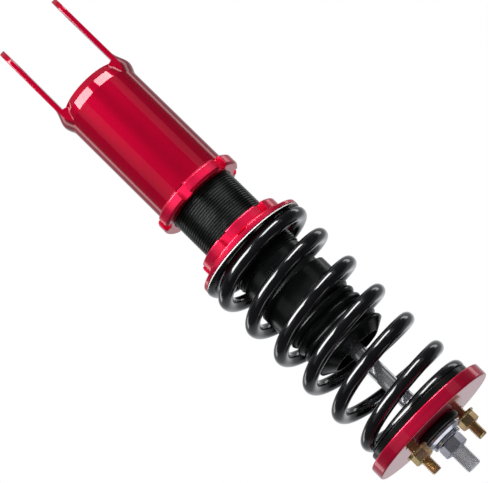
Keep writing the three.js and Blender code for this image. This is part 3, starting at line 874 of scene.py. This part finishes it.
# %% The dust boot
radius, bottom, top = span("dust_boot")
RIBS, RIB_PITCH, FIRST_RIB, CREST, VALLEY, BOOT_WALL = 6, 7.0, 301.8, 29.9, 27.2, 1.8
SKIRT_TOP, SKIRT_BORE, BOOT_BORE, MOUTH = 297.4, 26.8, 24.8, 19.6
STEP_BOTTOM, STEP_TOP = 290.7, 292.3  # where the bore steps in above the tube's end
RIB_ARC = 6  # steps from a crest to the valley on either side


def boot_outline():
    """Skirt, arched ribs and cone outside; a plain bore inside."""
    corners = [(SKIRT_BORE, bottom, 0.3), (radius, bottom, 0.8), (radius, SKIRT_TOP, 1.2)]
    for rib in range(RIBS):
        last_step = 2 if rib == RIBS - 1 else RIB_ARC - 1  # the last rib runs into the cone
        for k in range(-RIB_ARC, last_step + 1):
            arch = math.cos(math.pi / 2 * k / RIB_ARC) ** 0.8 if abs(k) < RIB_ARC else 0.0
            z = FIRST_RIB + RIB_PITCH * (rib + k / (2 * RIB_ARC))
            corners.append((VALLEY + (CREST - VALLEY) * arch, z))
    last = FIRST_RIB + RIB_PITCH * (RIBS - 1)
    corners += [(MOUTH + BOOT_WALL / 2, top, 0.5), (MOUTH, top, 0.4), (MOUTH, top - BOOT_WALL, 0.4)]
    corners += [(BOOT_BORE, last), (BOOT_BORE, STEP_TOP), (SKIRT_BORE, STEP_BOTTOM)]
    return corners


fitted(turned("gaiter", boot_outline(), 128), black_rubber, "black_rubber", "damper_tube", "dust_boot")

# %% The bump stop inside the boot
radius, bottom, top = span("bump_stop")
STOP_BORE, STOP_NOSE, WAIST, BELT = 6.8, 13.5, 17.3, 5.0
fitted(turned("foam_stop", [
    (STOP_BORE, bottom, 0.5), (radius, bottom, 1.2), (radius, bottom + WAIST - BELT, 2.0),
    (radius - 3, bottom + WAIST, 2.0), (radius - 2, bottom + WAIST + BELT, 3.0), (STOP_NOSE, top, 3.0),
    (STOP_BORE, top, 0.8),
], 96), urethane, "urethane", "damper_tube", "bump_stop")

# %% [markdown]
# ## The spring
# Steel wire is wound hot on a mandrel. The pitch closes up at both ends so that the last turn lies
# almost flat, and that turn is ground to give the spring a level foot. The tree below climbs a straight
# curve step by step, places each step by turn and height, and sweeps a round section along it. It also
# stores how far up the spring each section lies, because the ends move apart when the damper works and
# every section has to follow whole.

# %% Wind the spring


def spring_tree():
    """A tree that winds a compression spring with closed, ground ends."""
    tree, given = new_tree("spring_wire", {
        "Coil radius": "Float", "Wire radius": "Float", "First turn": "Float", "Last turn": "Float",
        "Start height": "Float", "End pitch": "Float", "Pitch": "Float",
        "Low start": "Float", "Low end": "Float", "High start": "Float", "High end": "Float",
        "Seat": "Float", "Top": "Float", "Steps": "Int", "Sides": "Int", "Material": "Material",
    })
    line = add(tree, "GeometryNodeCurvePrimitiveLine")
    points = add(tree, "GeometryNodeResampleCurve", {
        "Curve": line.outputs[0], "Count": calc(tree, "ADD", given["Steps"], 1),
    })
    share = calc(tree, "DIVIDE", add(tree, "GeometryNodeInputIndex").outputs[0], given["Steps"])
    turns = calc(tree, "SUBTRACT", given["Last turn"], given["First turn"])
    turn = calc(tree, "MULTIPLY_ADD", share, turns, given["First turn"])

    def opened(start, end):
        """Turns gained past a ramp that opens evenly from start to end."""
        held = calc(tree, "MINIMUM", calc(tree, "MAXIMUM", turn, start), end)
        inside = calc(tree, "SUBTRACT", held, start)
        width = calc(tree, "MULTIPLY", calc(tree, "SUBTRACT", end, start), 2)
        curved = calc(tree, "DIVIDE", calc(tree, "MULTIPLY", inside, inside), width)
        beyond = calc(tree, "MAXIMUM", calc(tree, "SUBTRACT", turn, end), 0)
        return calc(tree, "ADD", curved, beyond)

    open_turns = calc(tree, "SUBTRACT", opened(given["Low start"], given["Low end"]),
                      opened(given["High start"], given["High end"]))
    extra = calc(tree, "SUBTRACT", given["Pitch"], given["End pitch"])
    flat = calc(tree, "MULTIPLY_ADD", turn, given["End pitch"], given["Start height"])
    height = calc(tree, "MULTIPLY_ADD", open_turns, extra, flat)
    angle = calc(tree, "MULTIPLY", turn, FULL_TURN)
    place = add(tree, "ShaderNodeCombineXYZ", {
        "X": calc(tree, "MULTIPLY", given["Coil radius"], calc(tree, "COSINE", angle)),
        "Y": calc(tree, "MULTIPLY", given["Coil radius"], calc(tree, "SINE", angle)), "Z": height,
    })
    helix = add(tree, "GeometryNodeSetPosition", {
        "Geometry": points.outputs[0], "Position": place.outputs[0],
    })
    rise = add(tree, "ShaderNodeMapRange", {
        "Value": height, "From Min": given["Seat"], "From Max": given["Top"],
    })
    marked = add(tree, "GeometryNodeStoreNamedAttribute", {
        "Geometry": helix.outputs[0], "Name": "rise", "Value": rise.outputs[0],
    }, data_type="FLOAT", domain="POINT")
    section = add(tree, "GeometryNodeCurvePrimitiveCircle", {
        "Radius": given["Wire radius"], "Resolution": given["Sides"],
    })
    wire = add(tree, "GeometryNodeCurveToMesh", {
        "Curve": marked.outputs[0], "Profile Curve": section.outputs[0], "Fill Caps": True,
    })
    at = add(tree, "ShaderNodeSeparateXYZ", {0: add(tree, "GeometryNodeInputPosition").outputs[0]})
    level = calc(tree, "MINIMUM", calc(tree, "MAXIMUM", at.outputs["Z"], given["Seat"]), given["Top"])
    ground_place = add(tree, "ShaderNodeCombineXYZ", {
        "X": at.outputs["X"], "Y": at.outputs["Y"], "Z": level,
    })
    ground = add(tree, "GeometryNodeSetPosition", {
        "Geometry": wire.outputs[0], "Position": ground_place.outputs[0],
    })
    return close_tree(tree, ground.outputs[0], given)


COIL_RADIUS, WIRE_RADIUS = 40.25, 5.35
SPRING_RADIUS, SEAT, SPRING_TOP = span("coil_spring")
spring = as_object("wound_spring", bmesh.new())
grown(
    spring, spring_tree(), Coil_radius=COIL_RADIUS * MM, Wire_radius=WIRE_RADIUS * MM,
    First_turn=-155 / 360, Last_turn=2500 / 360, Start_height=(SEAT - 0.3) * MM,
    End_pitch=11 * MM, Pitch=28.7 * MM, Low_start=170 / 360, Low_end=470 / 360,
    High_start=2130 / 360, High_end=2190 / 360, Seat=SEAT * MM, Top=SPRING_TOP * MM,
    Steps=900, Sides=32, Material=black_coat,
)
outwards(spring)
dressed(spring, black_coat, math.radians(50))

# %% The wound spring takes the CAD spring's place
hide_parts("coil_spring")
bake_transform(spring)

# %% [markdown]
# ## Top mount
# The mount plate is turned aluminium with a rounded rim. Two studs are pressed in from below. A rubber
# bush sits in the middle, split into a lower and an upper half round a steel sleeve; a dished washer, a
# flat washer and a nut clamp it to the rod. Under the plate a rubber isolator carries the spring.

# %% The plate
radius, bottom, top = span("top_plate")
BUSH_BORE, STUD_X, STUD_Y = 14.0, 19.8, -28.8
STUD_RADIUS, STUD_HEAD, STUD_PITCH = 4.0, 6.6, 1.25
STUD_LOW, STUD_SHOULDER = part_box("stud_1")[0].z / MM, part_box("stud_1")[0].z / MM + 3.4
STUD_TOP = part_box("stud_1")[1].z / MM
plate = turned("mount_plate", [
    (BUSH_BORE, bottom, 0.6), (radius, bottom, 1.0), (radius, top, 1.0), (BUSH_BORE, top, 0.6),
], segments=192)
shelf = STUD_SHOULDER + 0.3
hole = moved(turned("stud_hole", [
    (0, bottom - PAST), (STUD_HEAD + 0.3, bottom - PAST), (STUD_HEAD + 0.3, shelf),
    (STUD_RADIUS + 0.4, shelf), (STUD_RADIUS + 0.4, top - 0.4), (STUD_RADIUS + 1.0, top + 0.2),
    (STUD_RADIUS + 1.0, top + PAST), (0, top + PAST),
], segments=48), STUD_X, STUD_Y)
both_holes = grown(hole, repeat_round_axis, Count=2, First_turn=0.0, Material=red_anodised)
plate = combined(plate, both_holes, "DIFFERENCE")
fitted(plate, red_anodised, "red_anodised", "top_mount", "top_plate")

# %% The isolator and the two halves of the bush
radius, bottom, top = span("upper_isolator")
ISOLATOR_BORE, LIP_RADIUS, SHELF = 24.0, 33.7, 403.5
fitted(turned("rubber_isolator", [
    (ISOLATOR_BORE, bottom, 0.5), (LIP_RADIUS, bottom, 1.0), (LIP_RADIUS, SHELF, 0.6),
    (radius, SHELF, 0.8), (radius, top, 0.8), (ISOLATOR_BORE, top, 0.5),
], 160), black_rubber, "black_rubber", "top_mount", "upper_isolator")
radius, bottom, top = span("lower_bush")
PLUG, SLEEVE_GAP, RUBBER_THICKNESS = 13.6, 8.6, 7.4
shoulder = bottom + RUBBER_THICKNESS
fitted(turned("lower_rubber", [
    (SLEEVE_GAP, bottom, 0.4), (radius, bottom, 2.2), (radius, shoulder, 1.2),
    (PLUG, shoulder, 0.3), (PLUG, top, 0.4), (SLEEVE_GAP, top, 0.2),
], 96), black_rubber, "black_rubber", "top_mount", "lower_bush")
radius, bottom, top = span("upper_bush")
shoulder = span("top_plate")[2] + 0.3
fitted(turned("upper_rubber", [
    (SLEEVE_GAP, bottom, 0.2), (PLUG, bottom, 0.4), (PLUG, shoulder, 0.3), (radius, shoulder, 2.2),
    (radius, top, 2.6), (SLEEVE_GAP, top, 0.4),
], 96, steps=6), black_rubber, "black_rubber", "top_mount", "upper_bush")

# %% Sleeve and washers
SLEEVE_BORE = 6.4
radius, bottom, top = span("bush_sleeve")
fitted(turned("steel_sleeve", ring_outline(SLEEVE_BORE, radius, bottom, top, 0.3), 64),
       bare_steel, "bare_steel", "top_mount", "bush_sleeve")
radius, bottom, top = span("lower_washer")
fitted(turned("underside_washer", ring_outline(SLEEVE_BORE, radius, bottom, top, 0.5), 96),
       bright_zinc, "bright_zinc", "top_mount", "lower_washer")
radius, bottom, top = span("cup_washer")
fitted(turned("dished_washer", [
    (SLEEVE_BORE, bottom, 0.3), (radius, bottom, 0.5), (radius, bottom + 2.1, 0.7),
    (12.6, top, 1.6), (SLEEVE_BORE, top, 0.4),
], 128), bright_zinc, "bright_zinc", "top_mount", "cup_washer")
radius, bottom, top = span("flat_washer")
fitted(turned("thin_washer", ring_outline(SLEEVE_BORE, radius, bottom, top, 0.5), 96),
       bright_zinc, "bright_zinc", "top_mount", "flat_washer")

# %% [markdown]
# ## Nuts and studs
# A hex nut is one flat repeated six times. Its corners are turned down by a 30 degree cone, which is
# what gives each flat its curved top edge. The stud nuts carry a pressed flange on the side of the body
# panel. A stud is a turned blank with a rolled thread, wound on before the stud is moved to its place.

# %% One flat of a hex nut
CORNER_CONE = 0.96  # where the cone meets a nut's faces, as a share of its apothem


def hex_sector(name, bore, flats, bottom, top, flange=None):
    """A sixth of a nut, with the corners coned off; flange is its radius and height, if it has one."""
    apothem = flats / 2
    face = CORNER_CONE * apothem
    rows = []
    for k in range(-5, 6):
        turn = SIXTH * k / 5
        edge = apothem / math.cos(turn)
        cone = max(0.0, edge - face) * math.tan(SIXTH)
        foot = [(face, bottom), (edge, bottom + cone)]
        if flange:
            reach, height = flange
            foot = [(reach - 0.3, bottom), (reach, bottom + 0.3), (reach, bottom + height),
                    (edge + 0.25, bottom + height + 0.45), (edge, bottom + height + 0.7)]
        outline = [(bore + 0.5, bottom), *foot, (edge, top - cone), (face, top),
                   (bore + 0.6, top), (bore, top - 0.6), (bore, bottom + 0.5)]
        rows.append(upright(outline, turn))
    return skinned(name, rows, round_again=False)


def hex_nut(name, bore, flats, bottom, top, material, flange=None):
    """A nut on the Z axis with a flat towards -Y."""
    sector = hex_sector(name, bore, flats, bottom, top, flange)
    return outwards(grown(sector, repeat_round_axis, Count=6, First_turn=SIXTH, Material=material))


# %% The rod nut, the studs and their nuts
radius, bottom, top = span("rod_nut")
fitted(softened(hex_nut("hex_nut_on_rod", SLEEVE_BORE, 17.0, bottom, top, bright_zinc)),
       bright_zinc, "bright_zinc", "top_mount", "rod_nut")
STUD_NUT_FLATS, STUD_NUT_BORE, NUT_FLANGE, STUD_SIDES = 13.0, 4.25, (8.75, 1.5), 40
NUT_LOW, NUT_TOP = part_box("stud_nut_1")[0].z / MM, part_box("stud_nut_1")[1].z / MM
STUD_THREAD_LOW = span("top_plate")[2] + 0.6
stud_root = STUD_RADIUS - THREAD_DEPTH * STUD_PITCH


def half_turn(made, times):
    """Turns the mesh half a turn round the Z axis, a number of times."""
    made.data.transform(Matrix.Rotation(math.pi * times, 4, "Z"))
    return made


for k in range(2):
    blank = turned(f"pressed_stud_{k + 1}", [
        (0, STUD_LOW), (STUD_HEAD, STUD_LOW, 0.4), (STUD_HEAD, STUD_SHOULDER, 0.4),
        (STUD_RADIUS, STUD_SHOULDER, 0.3), (STUD_RADIUS, STUD_THREAD_LOW), (stud_root, STUD_THREAD_LOW),
    ], segments=STUD_SIDES, closed=False)
    lid = turned("stud_end", [(stud_root, STUD_TOP), (0, STUD_TOP)], segments=STUD_SIDES, closed=False)
    blank = joined_meshes(blank, lid)
    stud = threaded(blank, STUD_RADIUS, STUD_PITCH, STUD_THREAD_LOW, STUD_TOP, STUD_SIDES, yellow_zinc)
    half_turn(moved(stud, STUD_X, STUD_Y), k)
    fitted(stud, yellow_zinc, "yellow_zinc", "top_mount", f"stud_{k + 1}")
    nut = softened(hex_nut(f"flange_nut_{k + 1}", STUD_NUT_BORE, STUD_NUT_FLATS, NUT_LOW, NUT_TOP,
                           yellow_zinc, flange=NUT_FLANGE), 0.15)
    half_turn(moved(nut, STUD_X, STUD_Y), k)
    fitted(nut, yellow_zinc, "yellow_zinc", "top_mount", f"stud_nut_{k + 1}")

# %% [markdown]
# ## Pieces that keep their CAD shape
# The valve parts inside the tube are plain turned rings and discs, and their CAD shapes are right. They
# only need the finishes of the real parts.

# %% Finishes for the inner parts
INNER_FINISHES = {
    "gland_nut": bare_aluminium, "rod_guide": bare_aluminium, "rod_seal": black_rubber,
    "piston": bare_aluminium, "piston_band": white_nylon, "compression_shims": bare_steel,
    "rebound_shims": bare_steel, "piston_nut": bare_steel, "floating_piston": bare_aluminium,
    "floating_piston_o_ring": black_rubber, "rod_circlip": bare_steel,
}
for node, material in INNER_FINISHES.items():
    for material_slot in bpy.data.objects[node].material_slots:
        material_slot.material = material
print("finished", len(INNER_FINISHES), "inner parts")

# %% [markdown]
# ## Studio
# The coilover hangs in a bright studio, as in a catalogue picture: white all round, and a pale floor far
# below that keeps its shadow out of the picture. Two large softboxes stand low in front and light the
# cylinders evenly. Two tall strips and two narrow side lights put thin reflections along their edges, one
# light from above and behind catches the plate, and a broad fill by the camera is kept out of reflections.

# %% Floor and room
scene = bpy.context.scene


def stage_finish(name, colour):
    """A plain matt surface for the floor."""
    material, tree, shader = finish(name, 0.9)
    tint(tree, shader, mottled(tree, 3.0), colour, colour)
    return material


def floor_plane(height, half):
    """A pale floor, given in metres."""
    shape = bmesh.new()
    signs = ((-1, -1), (1, -1), (1, 1), (-1, 1))
    shape.faces.new([shape.verts.new((x * half, y * half, height)) for x, y in signs])
    mesh = bpy.data.meshes.new("studio_floor")
    shape.to_mesh(mesh)
    shape.free()
    made = bpy.data.objects.new("studio_floor", mesh)
    scene.collection.objects.link(made)
    mesh.materials.append(stage_finish("pale_floor", (0.9, 0.9, 0.9)))
    return made


floor = floor_plane(-1.6, 1.5)

# %% World: white behind, and dark around the camera


def studio_world():
    """White for the camera; for everything else it brightens from the front to the back."""
    world = bpy.data.worlds.new("studio")
    world.use_nodes = True
    tree = world.node_tree
    tree.nodes.clear()
    direction = add(tree, "ShaderNodeTexCoord").outputs["Generated"]
    depth = add(tree, "ShaderNodeSeparateXYZ", {0: direction}).outputs["Y"]
    ramp = add(tree, "ShaderNodeValToRGB", {0: calc(tree, "MULTIPLY_ADD", depth, 0.5, 0.5)})
    levels = ((0.0, 0.04), (0.4, 0.03), (0.70, 0.04), (0.79, 0.15), (0.92, 0.20), (0.975, 0.46))
    elements = ramp.color_ramp.elements
    elements[0].position, elements[1].position = levels[0][0], levels[-1][0]
    for position, _ in levels[1:-1]:
        elements.new(position)
    for element, (_, level) in zip(elements, levels):
        element.color = (level, level * 1.02, level * 1.06, 1)
    room = add(tree, "ShaderNodeBackground", {"Color": ramp.outputs[0], "Strength": 1.3})
    backdrop = add(tree, "ShaderNodeBackground", {"Color": (1, 1, 1, 1), "Strength": 1.0})
    seen = add(tree, "ShaderNodeLightPath").outputs["Is Camera Ray"]
    mixed = add(tree, "ShaderNodeMixShader", {0: seen, 1: room.outputs[0], 2: backdrop.outputs[0]})
    add(tree, "ShaderNodeOutputWorld", {"Surface": mixed.outputs[0]})
    scene.world = world


studio_world()

# %% Softboxes
MIDDLE = Vector((0.0009, 0.0, 0.230))  # the point that the lights and the camera face


def softbox(name, azimuth, elevation, distance, width, height, power, glossy=True):
    """A rectangular light; azimuth is in degrees from -Y towards +X, and it faces the object."""
    lamp = bpy.data.lights.new(name, "AREA")
    lamp.shape = "RECTANGLE"
    lamp.size, lamp.size_y = width, height
    lamp.energy = power
    made = bpy.data.objects.new(name, lamp)
    around, up = math.radians(azimuth), math.radians(elevation)
    towards = Vector((math.sin(around) * math.cos(up), -math.cos(around) * math.cos(up), math.sin(up)))
    made.location = MIDDLE + towards * distance
    made.rotation_euler = towards.to_track_quat("Z", "Y").to_euler()
    made.visible_camera = False
    made.visible_glossy = glossy
    scene.collection.objects.link(made)
    return made


softbox("softbox_left", -52, -40, 1.3, 0.90, 0.44, 15)
softbox("softbox_right", 37, -43, 1.3, 1.15, 0.66, 30)
softbox("strip_left", -66, -13, 1.4, 0.55, 0.75, 0.3)
softbox("strip_right", 55, -13, 1.4, 0.95, 0.75, 0.5)
softbox("side_left", -125, -13, 1.4, 0.28, 0.75, 0.8)
softbox("side_right", 125, -13, 1.4, 0.28, 0.75, 0.9)
softbox("top_light", 180, 80, 1.3, 1.4, 0.8, 3.5)
softbox("fill_from_camera", 0, 12, 1.6, 1.2, 1.2, 10, glossy=False)

# %% [markdown]
# The camera looks from the front and from a little above, so that the plate's outer face shows as a thin
# ellipse. It is turned about its own axis until the object runs from the upper left (the fork) to the
# lower right, and it stands well back with a long lens, which keeps the cylinders' sides parallel.

# %% Camera
CAMERA_TILT, CAMERA_TURN = math.radians(13.3), math.radians(-44.54)
CAMERA_DISTANCE, CAMERA_LENS = 1.540, 159.35


def studio_camera():
    """A camera in front of the object, turned so that the Z axis runs along the picture's diagonal."""
    back = Vector((0, -math.cos(CAMERA_TILT), math.sin(CAMERA_TILT)))
    along = (Vector((0, 0, 1)) - back * back.z).normalized()
    across = back.cross(along)
    right = along * math.cos(CAMERA_TURN) - across * math.sin(CAMERA_TURN)
    up = along * math.sin(CAMERA_TURN) + across * math.cos(CAMERA_TURN)
    lens = bpy.data.cameras.new("studio_camera")
    lens.sensor_width = 36
    lens.lens = CAMERA_LENS
    lens.dof.use_dof = False
    camera = bpy.data.objects.new("studio_camera", lens)
    camera.matrix_world = Matrix((
        (right.x, up.x, back.x, 0), (right.y, up.y, back.y, 0), (right.z, up.z, back.z, 0), (0, 0, 0, 1),
    ))
    camera.location = MIDDLE + back * CAMERA_DISTANCE
    scene.collection.objects.link(camera)
    scene.camera = camera


studio_camera()
print("camera at", [round(value, 3) for value in scene.camera.location], "lights:", len(bpy.data.lights))
scene.view_settings.view_transform = "Standard"
